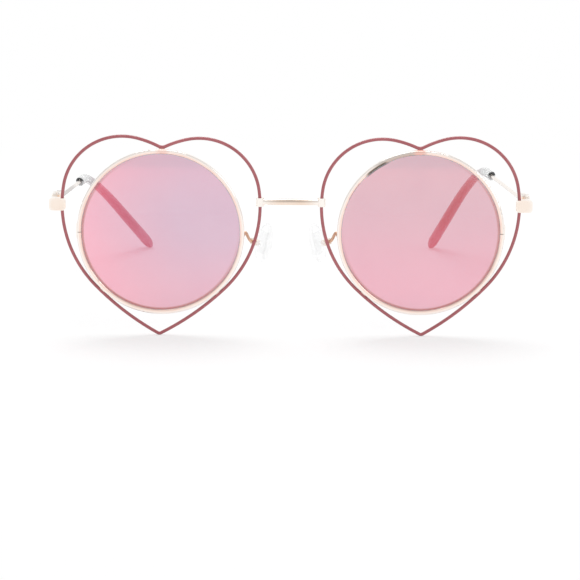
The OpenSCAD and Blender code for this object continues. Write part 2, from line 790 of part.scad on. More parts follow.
module hinge_screws() {
    color("Silver")
        in_frame()
            for (side = [-1, 1])
                on_side(side)
                    translate([hinge_x, hinge_back, hinge_high + end_tall / 2])
                        screw(hinge_screw_d, end_tall, hinge_head_d, hinge_head_tall);
}

module pad_screws() {
    color("Silver")
        in_frame()
            for (side = [-1, 1])
                on_side(side)
                    at_pad()
                        translate([box_wide / 2, 0, -pad_pin])
                            across()
                                screw(pad_screw_d, box_wide + ear_thick, 2 * pad_screw_d, pad_head_tall);
}

heart_wire_left();
heart_wire_right();
rim_left();
rim_right();
braze_joints();
bridge();
end_piece_left();
end_piece_right();
lens_left();
lens_right();
rim_screws();
hinge_screws();
pad_arm_left();
pad_arm_right();
pad_box_left();
pad_box_right();
pad_screws();
pad_insert_left();
pad_insert_right();
nose_pad_left();
nose_pad_right();
temple_left();
temple_right();
sleeve_left();
sleeve_right();
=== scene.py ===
import json
import math

import bpy
from mathutils import Matrix, Vector


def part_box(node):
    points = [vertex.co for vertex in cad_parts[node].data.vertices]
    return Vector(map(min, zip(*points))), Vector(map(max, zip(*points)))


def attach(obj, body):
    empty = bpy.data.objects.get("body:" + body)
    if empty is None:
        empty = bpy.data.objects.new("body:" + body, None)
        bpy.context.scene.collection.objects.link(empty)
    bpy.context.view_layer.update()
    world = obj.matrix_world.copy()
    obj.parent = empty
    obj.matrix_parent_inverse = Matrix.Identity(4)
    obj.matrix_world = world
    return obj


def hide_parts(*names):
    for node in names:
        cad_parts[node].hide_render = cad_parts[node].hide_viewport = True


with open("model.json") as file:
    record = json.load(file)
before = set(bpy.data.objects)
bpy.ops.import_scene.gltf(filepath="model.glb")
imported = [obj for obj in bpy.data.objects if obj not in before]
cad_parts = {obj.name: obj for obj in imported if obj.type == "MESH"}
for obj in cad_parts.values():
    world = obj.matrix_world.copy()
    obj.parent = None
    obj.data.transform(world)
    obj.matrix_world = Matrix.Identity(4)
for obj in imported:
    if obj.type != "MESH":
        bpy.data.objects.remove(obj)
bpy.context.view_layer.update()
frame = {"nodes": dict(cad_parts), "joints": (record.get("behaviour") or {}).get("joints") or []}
cad = frame["nodes"]
scene = bpy.context.scene

MM = 0.001
SIDES = {"left": 1, "right": -1}

# Sizes of the sunglasses in millimetres, and turns in degrees.
HEART_X = 39.15
WIRE_D = 1.0
# Each bend of half a heart, from the notch down: its radius and its turn.
HEART_ARCS = [(2.7, 25.6), (30.6, -12.4), (18, -93.8), (35.5, -54.3), (82.2, -16.5)]
HEART_LEAN = 1.3
SOLDER_GAP = 0.12
RIM_WIDE = 1.35
RIM_DEEP = 2.4
RIM_SCREW_IN = 0.6
GROOVE_DEEP = 0.55
LENS_PLAY = 0.06
LENS_CURVE = 265
LENS_THICK = 1.8
# The bevel of a lens: a small step out at half its depth, then down to half the depth of the edge.
BEVEL_STEP = 0.02
BEVEL_HALF = 0.55
EDGE_HALF = 0.04
# The middle of a pad's back, and its width, length and thickness.
PAD_SPOT = (8.7, 7.6, 27.4)
PAD_TURN = 35
PAD_SPREAD = 13
PAD_SIZE = (7.0, 12.4, 2.3)
PAD_TAPER = 0.14
# A pad arm starts this far round the rim, and ends in the pad box, this far behind the pad. How far
# it goes straight back, rises and comes in again are shares of the distance between its ends.
ARM_D = 0.95
ARM_TURN = 188
BOX_BACK = 3.81
ARM_OUT = 0.7
ARM_RISE = 1.35
ARM_IN = 0.45
# The wire of a temple and its ear bend.
TEMPLE_D = 1.2
BEND_START = 78.4
EAR_BEND = 46.5
EAR_TURN = 49.2
# A sleeve: its length, its play on the wire, and its thickness and height at its open end and near
# its tip. Its rounded end and the solid stretch past its bore are measured in heights near the tip.
SLEEVE_LONG = 76
SLEEVE_PLAY = 0.08
SLEEVE_FRONT = (2.5, 3.0)
SLEEVE_TIP = (3.6, 5.0)
CAP_SHARE = 0.9
CORE_SHARE = 2.4
# Each temple's roll inwards, drop and toe, and its length, at which the sleeve's tip meets the table.
TEMPLES = {"left": (21.6, 3.0, 2.9, 144.357), "right": (34.4, 5.1, 0.1, 142.916)}

BORE_R = TEMPLE_D / 2 + SLEEVE_PLAY
CORE_GAP = CORE_SHARE * SLEEVE_TIP[1]

# Steps of the meshes: degrees along an arc of a heart, then steps along and around each piece.
ARC_STEP = 1.5
TIP_STEPS = 8
WIRE_ROUND = 28
LENS_STEPS = 26
LENS_ROUND = 128
PAD_ROUND = 56
ARM_STEPS = 48
ARM_ROUND = 20
LIP_STEPS = 6
BODY_STEPS = 44
CAP_STEPS = 14
BORE_STEPS = 40
SLEEVE_ROUND = 40

# From the frame: the plane of the front, and the height and the outside of the rims.
low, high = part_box("heart_wire_left")
FRONT_Y = (low[1] + high[1]) / 2 / MM
low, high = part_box("rim_left")
RIM_HIGH = (low[2] + high[2]) / 2 / MM
RIM_R = (high[2] - low[2]) / 2 / MM
VIEW_R = RIM_R - RIM_WIDE
LENS_R = VIEW_R + GROOVE_DEEP - LENS_PLAY
NOTCH_RISE = RIM_R + SOLDER_GAP + WIRE_D / 2


def joint_spot(name):
    """Where a joint turns, in millimetres from the plane of the front."""
    spot = next(joint["pos_m"] for joint in frame["joints"] if joint["name"] == name)
    return Vector(spot) / MM - Vector((0, FRONT_Y, 0))


HINGE = joint_spot("fold_left")
PAD_PIN = joint_spot("rock_left")

# The tint of metal under thin enamel.
WASH_TINT = "#F3C4B8"
# Places in x and z of painted reflections and of finishes: the painted mauve reflection on the wearer's right
# lens, the painted dark streak and the painted tan dark reflection on the left rim, the enamel under each
# notch and the painted highlight at the corner of an end piece.
MAUVE_SPOT = (-22, 41)
MAUVE_REACH = 41
LENS_MIDDLE = (HEART_X, RIM_HIGH)
PAINTED_STREAK_SPOT = (HEART_X - 13.2, RIM_HIGH + 19.6)
PAINTED_TAN_SPOT = (HEART_X - 7, RIM_HIGH + 23.4)
WASH_SPOT = (HEART_X - 0.7, RIM_HIGH + NOTCH_RISE - 0.8)
PAINTED_HIGHLIGHT_SPOT = (HINGE.x - 1.3, HINGE.z)
# The way from the middle of a lens to the side where its painted rim shade is full, in degrees.
SHADE_WAY = -55
# Where the painted grey shade on the wearer's right temple wire starts and ends, and the sleeves turn clear,
# in y.
PAINTED_SHADE_FROM = (FRONT_Y + 12, FRONT_Y + 16)
PAINTED_SHADE_TO = (FRONT_Y + 44, FRONT_Y + 62)
CLEAR_END = FRONT_Y + 94

# The camera in millimetres and degrees, and the floor in metres.
CAMERA_SPOT = (-0.11, -600, 150.1)
CAMERA_DOWN = 12.762
CAMERA_ROLL = 0.29
CAMERA_LENS = 125.9
BACKDROP_WAY = (0, 0.98, 0.16)
SHADOW_REACH = (0.13, 0.34)
FLOOR_HALF = 4
FLOOR_GLOW = 0.52
# How bright polished metal sees the room, and the backdrop from its edge to its middle.
ROOM_LEVEL = 0.62
BACKDROP_EDGE = (0.9, 0.4)
BACKDROP_LEVEL = (0.8, 1.0)


def at(point):
    """A point in millimetres from the front plane becomes metres in the frame."""
    return Vector((point[0], point[1] + FRONT_Y, point[2])) * MM


def turned(point, *turns):
    """Turns a point about the axes in the order given, in degrees."""
    for axis, angle in turns:
        point = Matrix.Rotation(math.radians(angle), 3, axis) @ Vector(point)
    return point


# Nodes


def srgb(code):
    """An sRGB hex colour as the linear RGBA that Blender's sockets take."""
    parts = [int(code[i:i + 2], 16) / 255 for i in (1, 3, 5)]
    return (*[c / 12.92 if c <= 0.04045 else ((c + 0.055) / 1.055) ** 2.4 for c in parts], 1)


def put(tree, kind, inputs=None, **settings):
    """Adds a node; a socket among the inputs is linked, and anything else is set as the value."""
    new = tree.nodes.new(kind)
    for key, value in settings.items():
        setattr(new, key, value)
    for key, value in (inputs or {}).items():
        if isinstance(value, bpy.types.NodeSocket):
            tree.links.new(value, new.inputs[key])
        else:
            new.inputs[key].default_value = value
    return new


def per(mm):
    """The scale of a pattern whose features are this many millimetres, on coordinates in metres."""
    return 1 / (mm * MM)


def material(name, build):
    """A new material whose surface is the shader socket that build returns."""
    made = bpy.data.materials.new(name)
    made.use_nodes = True
    made.node_tree.nodes.clear()
    put(made.node_tree, "ShaderNodeOutputMaterial", {"Surface": build(made.node_tree)})
    return made


def speckle(tree, mm, detail=2.0, stretch=(1, 1, 1)):
    """Noise on Object coordinates with features of the given size, drawn out by stretch."""
    place = put(tree, "ShaderNodeTexCoord").outputs["Object"]
    sized = put(tree, "ShaderNodeMapping", {"Vector": place, "Scale": [per(mm * s) for s in stretch]})
    noise = {"Vector": sized.outputs[0], "Scale": 1, "Detail": detail}
    return put(tree, "ShaderNodeTexNoise", noise).outputs[0]


def mix_of(tree, factor, first, second):
    """A colour between a socket's colour and a hex colour."""
    colours = {0: factor, 6: first, 7: srgb(second)}
    return put(tree, "ShaderNodeMix", colours, data_type="RGBA").outputs[2]


def between(tree, factor, first, second):
    """A colour between two hex colours."""
    return mix_of(tree, factor, srgb(first), second)


def spread(tree, value, low_end, high_end, from_low=0.3, from_high=0.7):
    """Spreads a value, as a rule noise, which keeps near its middle, over the range of a shader value."""
    return put(tree, "ShaderNodeMapRange", {"Value": value, "From Min": from_low, "From Max": from_high,
                                            "To Min": low_end, "To Max": high_end}).outputs[0]


def relief(tree, height, deep_mm):
    """Bump of a real depth in millimetres."""
    depth = {"Height": height, "Distance": deep_mm * MM, "Strength": 1.0}
    return put(tree, "ShaderNodeBump", depth).outputs[0]


def about_axis(tree, axis_x, level, other):
    """The place about an axis, alike on both sides: x and y when other is 1, x and z when it is 2."""
    parts = object_place(tree)
    across = put(tree, "ShaderNodeMath", {0: parts[0]}, operation="ABSOLUTE").outputs[0]
    joined = put(tree, "ShaderNodeCombineXYZ", {0: across, 1: parts[other]}).outputs[0]
    return put(tree, "ShaderNodeMapping", {"Vector": joined, "Location": (-axis_x, -level, 0)}).outputs[0]


def ramp(tree, value, from_mm, to_mm):
    """A soft step from 0 to 1 between two sizes in millimetres."""
    return put(tree, "ShaderNodeMapRange", {"Value": value, "From Min": from_mm * MM, "From Max": to_mm * MM},
               interpolation_type="SMOOTHSTEP").outputs[0]


def times(tree, first, second):
    """The product of two values."""
    return put(tree, "ShaderNodeMath", {0: first, 1: second}, operation="MULTIPLY").outputs[0]


def larger(tree, first, second):
    """The larger of two values."""
    return put(tree, "ShaderNodeMath", {0: first, 1: second}, operation="MAXIMUM").outputs[0]


def length_of(tree, vector):
    """The length of a vector."""
    return put(tree, "ShaderNodeVectorMath", {0: vector}, operation="LENGTH").outputs[1]


def object_place(tree):
    """The x, y and z of a place on the object."""
    place = put(tree, "ShaderNodeTexCoord").outputs["Object"]
    return put(tree, "ShaderNodeSeparateXYZ", {0: place}).outputs


def reach_from(tree, spot):
    """How far a place is from a spot in x and z, seen from the front and alike on both sides."""
    return length_of(tree, about_axis(tree, spot[0] * MM, spot[1] * MM, 2))


def on_left(tree):
    """1 on the wearer's left and 0 on the right."""
    return ramp(tree, object_place(tree)[0], 0, 12)


# Materials


def baked_enamel(tree):
    # Gloss enamel dipped and baked on steel wire: coral body colour under a clear wet-looking skin,
    # thinner and lighter in places, with the faint ripple of a coat that flowed before it set.
    tone = spread(tree, speckle(tree, 7), 0, 1)
    grain = speckle(tree, 0.8)
    return put(tree, "ShaderNodeBsdfPrincipled", {
        "Base Color": between(tree, tone, "#B0585F", "#BB656B"), "Roughness": spread(tree, grain, 0.2, 0.32),
        "Coat Weight": 0.6, "Coat Roughness": 0.06, "Coat IOR": 1.5,
        "Normal": relief(tree, grain, 0.006)}).outputs[0]


def polished_gold_plate(tree, first="#F8EBDF", second="#F5E2D4", pale=None, painted_shade=None, wash=None):
    # Nickel silver, polished and plated with pale rose gold: a mirror with soft polishing haze,
    # slightly redder where the plating is thick, and hairlines left by the buffing wheel.
    tone = spread(tree, speckle(tree, 6), 0, 1)
    haze = speckle(tree, 0.5, 3)
    lines = speckle(tree, 0.16, 1, (1, 9, 1))
    plated = between(tree, tone, first, second)
    # Near white where pale is given: on the rims and end pieces this is a painted highlight.
    if pale is not None:
        plated = mix_of(tree, pale, plated, "#FFFAF4")
    # A grey-brown where the next mask is given: painted shade and dark reflection.
    if painted_shade is not None:
        plated = mix_of(tree, painted_shade, plated, "#7A7066")
    if wash is not None:
        plated = mix_of(tree, wash, plated, WASH_TINT)
    return put(tree, "ShaderNodeBsdfPrincipled", {
        "Base Color": plated, "Metallic": 1.0,
        "Roughness": spread(tree, haze, 0.1, 0.2), "Normal": relief(tree, lines, 0.0012)}).outputs[0]


def painted_streak_place(tree):
    """Where a dark reflection is painted: 1 in a short stretch of the wearer's left rim, up towards the nose,
    and 0 elsewhere.
    """
    return times(tree, ramp(tree, reach_from(tree, PAINTED_STREAK_SPOT), 4.7, 2.5), on_left(tree))


def painted_tan_place(tree):
    """Where a tan dark reflection is painted: 1 on the wearer's left rim from its notch towards the nose,
    apart from the outer edge.
    """
    face = ramp(tree, reach_from(tree, LENS_MIDDLE), VIEW_R + 1.3, VIEW_R + 0.9)
    return times(tree, face, times(tree, ramp(tree, reach_from(tree, PAINTED_TAN_SPOT), 9, 6), on_left(tree)))


def notch_wash(tree):
    """Where thin enamel runs over the solder and onto the rim under a notch, thinner on the right."""
    thin = spread(tree, object_place(tree)[0], 0.6, 1, 0, 10 * MM)
    return times(tree, ramp(tree, reach_from(tree, WASH_SPOT), 2.8, 0.7), thin)


def rim_plate(tree):
    # The same plating on the rims, rosier in the thick coat beside the lens and near white along
    # the outer edge, a painted highlight. Thin enamel colours the outer edge under the notch of the heart.
    # The wearer's left rim has a painted tan dark reflection from its notch towards the nose, and
    # its lip a short painted grey streak of dark reflection there.
    reach = reach_from(tree, LENS_MIDDLE)
    # Painted dark reflection: a short grey streak on the lip.
    painted_streak = times(tree, ramp(tree, reach, VIEW_R + 0.8, VIEW_R + 0.5), painted_streak_place(tree))
    # Painted dark reflection: tan from the notch towards the nose.
    painted_tan = times(tree, painted_tan_place(tree), 0.45)
    # Painted highlight: near white towards the outer edge.
    pale = ramp(tree, reach, VIEW_R + 0.35, VIEW_R + 1.2)
    painted_shade = larger(tree, painted_tan, painted_streak)
    return polished_gold_plate(tree, "#FFE9DE", "#FBDFD2", pale, painted_shade, notch_wash(tree))


def end_piece_plate(tree):
    # The same plating on the end pieces, near white at their corners: a painted highlight.
    # Painted highlight: near white away from a spot beside the hinge.
    pale = ramp(tree, reach_from(tree, PAINTED_HIGHLIGHT_SPOT), 1.6, 3.3)
    return polished_gold_plate(tree, "#FDF0E5", "#FAE9DB", pale)


def bridge_plate(tree):
    # The same plating on the bridge bar: the top of its middle is painted grey, a painted shade
    # along the top of the bar between the hearts.
    parts = object_place(tree)
    across = put(tree, "ShaderNodeMath", {0: parts[0]}, operation="ABSOLUTE").outputs[0]
    low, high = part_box("bridge")
    middle = (low[2] + high[2]) / 2 / MM
    upper = ramp(tree, parts[2], middle - 0.3, middle + 0.95)
    # Painted shade: grey along the top of the middle of the bar.
    painted_grey_shade = times(tree, times(tree, upper, ramp(tree, across, 9, 0.5)), 0.6)
    return polished_gold_plate(tree, "#F6E4D5", "#F2DDCC", ramp(tree, across, 3, 10), painted_grey_shade)


def arm_plate(tree):
    # The same plating on the pad arms, worn to a coppery tan by skin and by bending to fit.
    return polished_gold_plate(tree, "#DFB79E", "#CFA58C")


def drawn_gold_wire(tree):
    # The same plating over wire pulled through a die: fine lines run along it, so highlights
    # stretch into streaks. Beside the hinge of the wearer's right temple it is painted grey: a painted shade.
    tone = spread(tree, speckle(tree, 9), 0, 1)
    lines = speckle(tree, 0.14, 2, (1, 40, 1))
    parts = object_place(tree)
    starts = ramp(tree, parts[1], PAINTED_SHADE_FROM[0], PAINTED_SHADE_FROM[1])
    ends = ramp(tree, parts[1], PAINTED_SHADE_TO[1], PAINTED_SHADE_TO[0])
    # Painted shade: grey on the wearer's right temple wire beside the hinge.
    painted_grey_shade = times(tree, ramp(tree, parts[0], 0, -12), times(tree, starts, ends))
    return put(tree, "ShaderNodeBsdfPrincipled", {
        "Base Color": mix_of(tree, painted_grey_shade, between(tree, tone, "#FBF3EC", "#F6ECE3"), "#BDB4AF"),
        "Metallic": 1.0, "Roughness": spread(tree, lines, 0.14, 0.26),
        "Normal": relief(tree, lines, 0.003)}).outputs[0]


def flowed_solder(tree):
    # Brazing metal under the plating: it flowed and froze, so its skin is rippled and less polished.
    # The enamel of the heart runs over its outer half, and thinly further under the notch.
    ripple = speckle(tree, 0.45, 2)
    plated = between(tree, spread(tree, ripple, 0, 1), "#F6E6DA", "#EEDACD")
    metal = mix_of(tree, notch_wash(tree), plated, WASH_TINT)
    coated = ramp(tree, reach_from(tree, LENS_MIDDLE), VIEW_R + 1.4, VIEW_R + 1.7)
    return put(tree, "ShaderNodeBsdfPrincipled", {
        "Base Color": mix_of(tree, coated, metal, "#B35B61"),
        "Metallic": put(tree, "ShaderNodeMath", {0: 1.0, 1: coated}, operation="SUBTRACT").outputs[0],
        "Roughness": spread(tree, ripple, 0.2, 0.36), "Normal": relief(tree, ripple, 0.02)}).outputs[0]


def turned_steel(axis_x, axis_y):
    """Screw steel whose turning marks run round an upright axis on both sides of the middle."""
    def build(tree):
        # Steel from a lathe under a flash of gold: rings 0.12 mm apart catch the light on the head.
        # Real ones are 0.03 mm apart, and these are coarser so that they show.
        reach = length_of(tree, about_axis(tree, axis_x, axis_y, 1))
        wave = put(tree, "ShaderNodeMath", {0: reach, 1: 2 * math.pi * per(0.12)}, operation="MULTIPLY")
        rings = put(tree, "ShaderNodeMath", {0: wave.outputs[0]}, operation="SINE").outputs[0]
        soil = speckle(tree, 0.7, 3)
        return put(tree, "ShaderNodeBsdfPrincipled", {
            "Base Color": between(tree, spread(tree, soil, 0, 1), "#FFFDFA", "#FAF4EE"), "Metallic": 1.0,
            "Roughness": spread(tree, soil, 0.2, 0.34),
            "Normal": relief(tree, rings, 0.002)}).outputs[0]
    return build


def mauve_reflection_tone(tree):
    """Where a mauve reflection is painted over the pink of the coating: strongest beside the bridge on the
    right lens.
    """
    place = put(tree, "ShaderNodeTexCoord").outputs["Object"]
    across, high_up = (-part / MAUVE_REACH for part in MAUVE_SPOT)
    centred = put(tree, "ShaderNodeMapping", {"Vector": place, "Location": (across, 0, high_up),
                                              "Scale": (per(MAUVE_REACH), 0, per(MAUVE_REACH))})
    blob = put(tree, "ShaderNodeTexGradient", {0: centred.outputs[0]}, gradient_type="SPHERICAL").outputs[1]
    cloud = {0: speckle(tree, 30, 1), 1: 0.25, 2: -0.12}
    drift = put(tree, "ShaderNodeMath", cloud, operation="MULTIPLY_ADD")
    total = put(tree, "ShaderNodeMath", {0: blob, 1: drift.outputs[0]}, operation="ADD")
    return spread(tree, total.outputs[0], 0, 1, 0.05, 0.7)


def upper_left_tone(tree):
    """Where a painted reflection takes a little of the red from the wearer's left lens: its upper two thirds.
    """
    parts = object_place(tree)
    return times(tree, ramp(tree, parts[2], RIM_HIGH - 20, RIM_HIGH + 18), on_left(tree))


def outer_right_tone(tree):
    """Where a pinker reflection is painted on the wearer's right lens: its outer side."""
    return ramp(tree, object_place(tree)[0], -HEART_X + 4, -HEART_X - 26)


def edge_shade(tree):
    """Painted shade and reflection of the rim's inner wall on a lens: a ring that is full at the lower outer
    side and fades to the nose.
    """
    about = about_axis(tree, HEART_X * MM, RIM_HIGH * MM, 2)
    way = math.radians(SHADE_WAY)
    outer = (math.cos(way), math.sin(way), 0)
    down = put(tree, "ShaderNodeVectorMath", {0: about, 1: outer}, operation="DOT_PRODUCT").outputs[1]
    return times(tree, ramp(tree, length_of(tree, about), VIEW_R - 0.95, VIEW_R - 0.45),
                 ramp(tree, down, -0.8 * VIEW_R, 0.5 * VIEW_R))


def mirror_coating(tree):
    # Vacuum coating on the front of a tinted polycarbonate lens: it throws back pink light and
    # lets blue-grey through. The drift of its colour from pink to mauve across the pair is a painted
    # reflection, and so is the dusky ring at its edge, painted shade and reflection of the rim's inner wall.
    tone, upper, edge = mauve_reflection_tone(tree), upper_left_tone(tree), edge_shade(tree)
    # Painted reflection: less red on the upper wearer's left lens, pinker on the outer side of the right one.
    pink = mix_of(tree, outer_right_tone(tree), between(tree, upper, "#C7424E", "#B84B49"), "#D24A5B")
    # Painted reflection: a little redder towards the top of both lenses.
    top = times(tree, ramp(tree, object_place(tree)[2], RIM_HIGH + 6, RIM_HIGH + 24), 0.09)
    tints = mix_of(tree, top, mix_of(tree, tone, pink, "#AE5A6A"), "#FF5A62")
    edge_line = ramp(tree, reach_from(tree, LENS_MIDDLE), VIEW_R - 0.4, VIEW_R - 0.15)
    # Painted dark reflection: the grey streak of the left rim's lip runs onto the lens edge.
    painted_lens_streak = times(tree, edge_line, painted_streak_place(tree))
    # Painted shade and reflection of the rim's inner wall: the dusky edge ring.
    through = mix_of(tree, edge, between(tree, tone, "#A3BEC7", "#A9BBC5"), "#93908C")
    passed = put(tree, "ShaderNodeBsdfTransparent", {"Color": mix_of(tree, painted_lens_streak, through, "#6A6663")})
    back = mix_of(tree, edge, tints, "#A8585A")
    thrown = put(tree, "ShaderNodeBsdfGlossy", {
        "Color": mix_of(tree, painted_lens_streak, back, "#5A4646"),
        "Roughness": spread(tree, speckle(tree, 9), 0.05, 0.09)})
    return put(tree, "ShaderNodeAddShader", {0: passed.outputs[0], 1: thrown.outputs[0]}).outputs[0]


def tinted_polycarbonate(tree):
    # Moulded polycarbonate, dyed in the mass: the clear back and edge of the lens, with the weak
    # white gloss of bare plastic and a breath of haze.
    passed = put(tree, "ShaderNodeBsdfTransparent", {
        "Color": between(tree, spread(tree, speckle(tree, 12), 0, 1), "#E4ECEE", "#DFE9EC")})
    gloss = put(tree, "ShaderNodeBsdfGlossy", {"Color": srgb("#FFFFFF"), "Roughness": 0.04})
    return put(tree, "ShaderNodeMixShader", {
        0: put(tree, "ShaderNodeFresnel", {"IOR": 1.5}).outputs[0],
        1: passed.outputs[0], 2: gloss.outputs[0]}).outputs[0]


def smoky_acetate(mouth):
    """Sleeve acetate, for the middle of the sleeve's open end."""
    def build(tree):
        # Cellulose acetate, tumbled to a soft shine: a smoky rose that lets some light through,
        # with faint drifts of pigment and nearly clear at the front end. The upper edge of its open
        # end is painted dark: painted shade in the mouth of the bore.
        drift = spread(tree, speckle(tree, 2.2, 2, (1, 5, 1)), 0, 1)
        wear = speckle(tree, 0.9)
        parts = object_place(tree)
        smoke = ramp(tree, parts[1], CLEAR_END + 10, CLEAR_END - 8)
        graded = mix_of(tree, smoke, between(tree, drift, "#C29DAA", "#B4929E"), "#F4F5F5")
        middle = mouth / MM
        # Painted shade: dark at the upper edge of the open end, in the mouth of the bore.
        painted_bore_shade = times(tree, ramp(tree, parts[1], middle.y + 0.75, middle.y + 0.35),
                     ramp(tree, parts[2], middle.z - 0.1, middle.z + 0.5))
        return put(tree, "ShaderNodeBsdfPrincipled", {
            "Base Color": mix_of(tree, painted_bore_shade, graded, "#2E3031"),
            "Roughness": spread(tree, wear, 0.14, 0.24),
            "IOR": 1.49, "Transmission Weight": 0.45, "Coat Weight": 0.3, "Coat Roughness": 0.08,
            "Normal": relief(tree, wear, 0.001)}).outputs[0]
    return build


def clear_silicone(tree):
    # Injection moulded silicone: water clear, soft satin skin that blurs what is behind it.
    skin = speckle(tree, 0.5, 3)
    return put(tree, "ShaderNodeBsdfPrincipled", {
        "Base Color": between(tree, spread(tree, skin, 0, 1), "#F7F8F8", "#EDF0F1"),
        "Roughness": spread(tree, skin, 0.16, 0.28),
        "IOR": 1.41, "Transmission Weight": 0.9, "Alpha": 0.12,
        "Normal": relief(tree, skin, 0.004)}).outputs[0]


def clear_polycarbonate(tree):
    # The hard moulded core inside a pad: glassy, with slight flow marks from the gate.
    flow = speckle(tree, 1.1, 2, (1, 1, 4))
    return put(tree, "ShaderNodeBsdfPrincipled", {
        "Base Color": between(tree, spread(tree, flow, 0, 1), "#FAFBFB", "#EEF2F4"),
        "Roughness": spread(tree, flow, 0.04, 0.1),
        "IOR": 1.58, "Transmission Weight": 0.92, "Alpha": 0.12,
        "Normal": relief(tree, flow, 0.003)}).outputs[0]


enamel = material("baked_gloss_enamel", baked_enamel)
plate = material("polished_rose_gold_plate", polished_gold_plate)
rim_gold = material("thick_rose_gold_plate", rim_plate)
bridge_gold = material("rose_gold_plate_painted_shade_on_top", bridge_plate)
end_gold = material("rose_gold_plate_painted_highlight", end_piece_plate)
drawn = material("drawn_rose_gold_wire", drawn_gold_wire)
arm_gold = material("worn_rose_gold_plate", arm_plate)
solder = material("flowed_solder", flowed_solder)
coating = material("vacuum_mirror_coating", mirror_coating)
tinted = material("tinted_polycarbonate", tinted_polycarbonate)
silicone = material("moulded_clear_silicone", clear_silicone)
hard_clear = material("moulded_clear_polycarbonate", clear_polycarbonate)
hinge_axis = at(HINGE)
hinge_steel = material("turned_hinge_screw_steel", turned_steel(hinge_axis.x, hinge_axis.y))
low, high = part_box("rim_screws")
rim_screw_x = high[0] - RIM_SCREW_IN * MM
rim_steel = material("turned_rim_screw_steel", turned_steel(rim_screw_x, (low[1] + high[1]) / 2))
pin_axis = at(PAD_PIN)
pad_steel = material("turned_pad_screw_steel", turned_steel(pin_axis.x, pin_axis.y))

FINISHES = {
    "rim_left": rim_gold, "rim_right": rim_gold, "bridge": bridge_gold, "end_piece_left": end_gold,
    "end_piece_right": end_gold, "pad_box_left": plate, "pad_box_right": plate,
    "temple_left": drawn, "temple_right": drawn, "braze_joints": solder,
    "hinge_screws": hinge_steel, "rim_screws": rim_steel, "pad_screws": pad_steel,
    "pad_insert_left": hard_clear, "pad_insert_right": hard_clear,
}
for node_name, finish in FINISHES.items():
    for slot in cad[node_name].material_slots:
        slot.material = finish


# Making pieces


def show(name, mesh, body, node):
    """Puts a finished mesh in the scene in place of a CAD node."""
    piece = bpy.data.objects.new(name, mesh)
    scene.collection.objects.link(piece)
    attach(piece, body)
    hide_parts(node)
    return piece


def mesh_of(name, points, faces, materials, side, sharp, second=()):
    """A smooth mesh from points in millimetres; the right side mirrors the left one.

    Edges over the sharp angle stay hard, and the faces numbered in second take the second material.
    """
    mesh = bpy.data.meshes.new(name)
    mesh.from_pydata([at((p[0] * side, p[1], p[2])) for p in points], [],
                     [f if side > 0 else tuple(reversed(f)) for f in faces])
    for finish in materials:
        mesh.materials.append(finish)
    for face in mesh.polygons:
        face.use_smooth = True
        face.material_index = int(face.index in second)
    mesh.update()
    mesh.set_sharp_from_angle(angle=math.radians(sharp))
    return mesh


def outward(mesh):
    """Turns a closed mesh that is inside out."""
    volume = sum(mesh.vertices[f.vertices[0]].co.dot(f.normal) * f.area for f in mesh.polygons)
    if volume < 0:
        mesh.flip_normals()
    return mesh


def rings_to_faces(first, count, n):
    """Quads between rings of n points that run round anticlockwise, seen against their order."""
    return [(first + i * n + j, first + i * n + (j + 1) % n, first + (i + 1) * n + (j + 1) % n,
             first + (i + 1) * n + j) for i in range(count - 1) for j in range(n)]


def wire_tree():
    """Geometry nodes that draw a round wire along a line of points."""
    tree = bpy.data.node_groups.new("round_wire_along_path", "GeometryNodeTree")
    for name, kind in (("Path", "NodeSocketGeometry"), ("Wire diameter", "NodeSocketFloat"),
                       ("Segments around", "NodeSocketInt"), ("Finish", "NodeSocketMaterial")):
        tree.interface.new_socket(name=name, in_out="INPUT", socket_type=kind)
    tree.interface.new_socket(name="Wire", in_out="OUTPUT", socket_type="NodeSocketGeometry")
    given = put(tree, "NodeGroupInput").outputs
    line = put(tree, "GeometryNodeMeshToCurve", {"Mesh": given["Path"]}).outputs[0]
    radius = times(tree, given["Wire diameter"], 0.5)
    ring = put(tree, "GeometryNodeCurvePrimitiveCircle", {
        "Resolution": given["Segments around"], "Radius": radius}).outputs[0]
    skin = put(tree, "GeometryNodeCurveToMesh", {
        "Curve": line, "Profile Curve": ring, "Fill Caps": True}).outputs[0]
    smooth = put(tree, "GeometryNodeSetShadeSmooth", {"Geometry": skin}).outputs[0]
    real = put(tree, "GeometryNodeRealizeInstances", {"Geometry": smooth}).outputs[0]
    done = put(tree, "GeometryNodeSetMaterial", {"Geometry": real, "Material": given["Finish"]})
    put(tree, "NodeGroupOutput", {"Wire": done.outputs[0]})
    return tree


WIRE = wire_tree()


def wire_mesh(name, points, diameter, closed, finish, segments):
    """A wire along points in metres, as a plain mesh."""
    line = bpy.data.meshes.new(name + "_path")
    links = [(i, i + 1) for i in range(len(points) - 1)]
    if closed:
        links.append((len(points) - 1, 0))
    line.from_pydata(points, links, [])
    carrier = bpy.data.objects.new(name + "_path", line)
    scene.collection.objects.link(carrier)
    draw = carrier.modifiers.new("wire", "NODES")
    draw.node_group = WIRE
    values = {"Wire diameter": diameter * MM, "Segments around": segments, "Finish": finish}
    for item in WIRE.interface.items_tree:
        if item.in_out == "INPUT" and item.name in values:
            draw[item.identifier] = values[item.name]
    ready = bpy.context.evaluated_depsgraph_get()
    mesh = bpy.data.meshes.new_from_object(carrier.evaluated_get(ready), depsgraph=ready)
    mesh.name = name
    carrier.modifiers.remove(draw)
    bpy.data.objects.remove(carrier)
    if not mesh.materials:
        mesh.materials.append(finish)
    # A swept wire whose path runs clockwise comes out inside out.
    return outward(mesh)


# Hearts


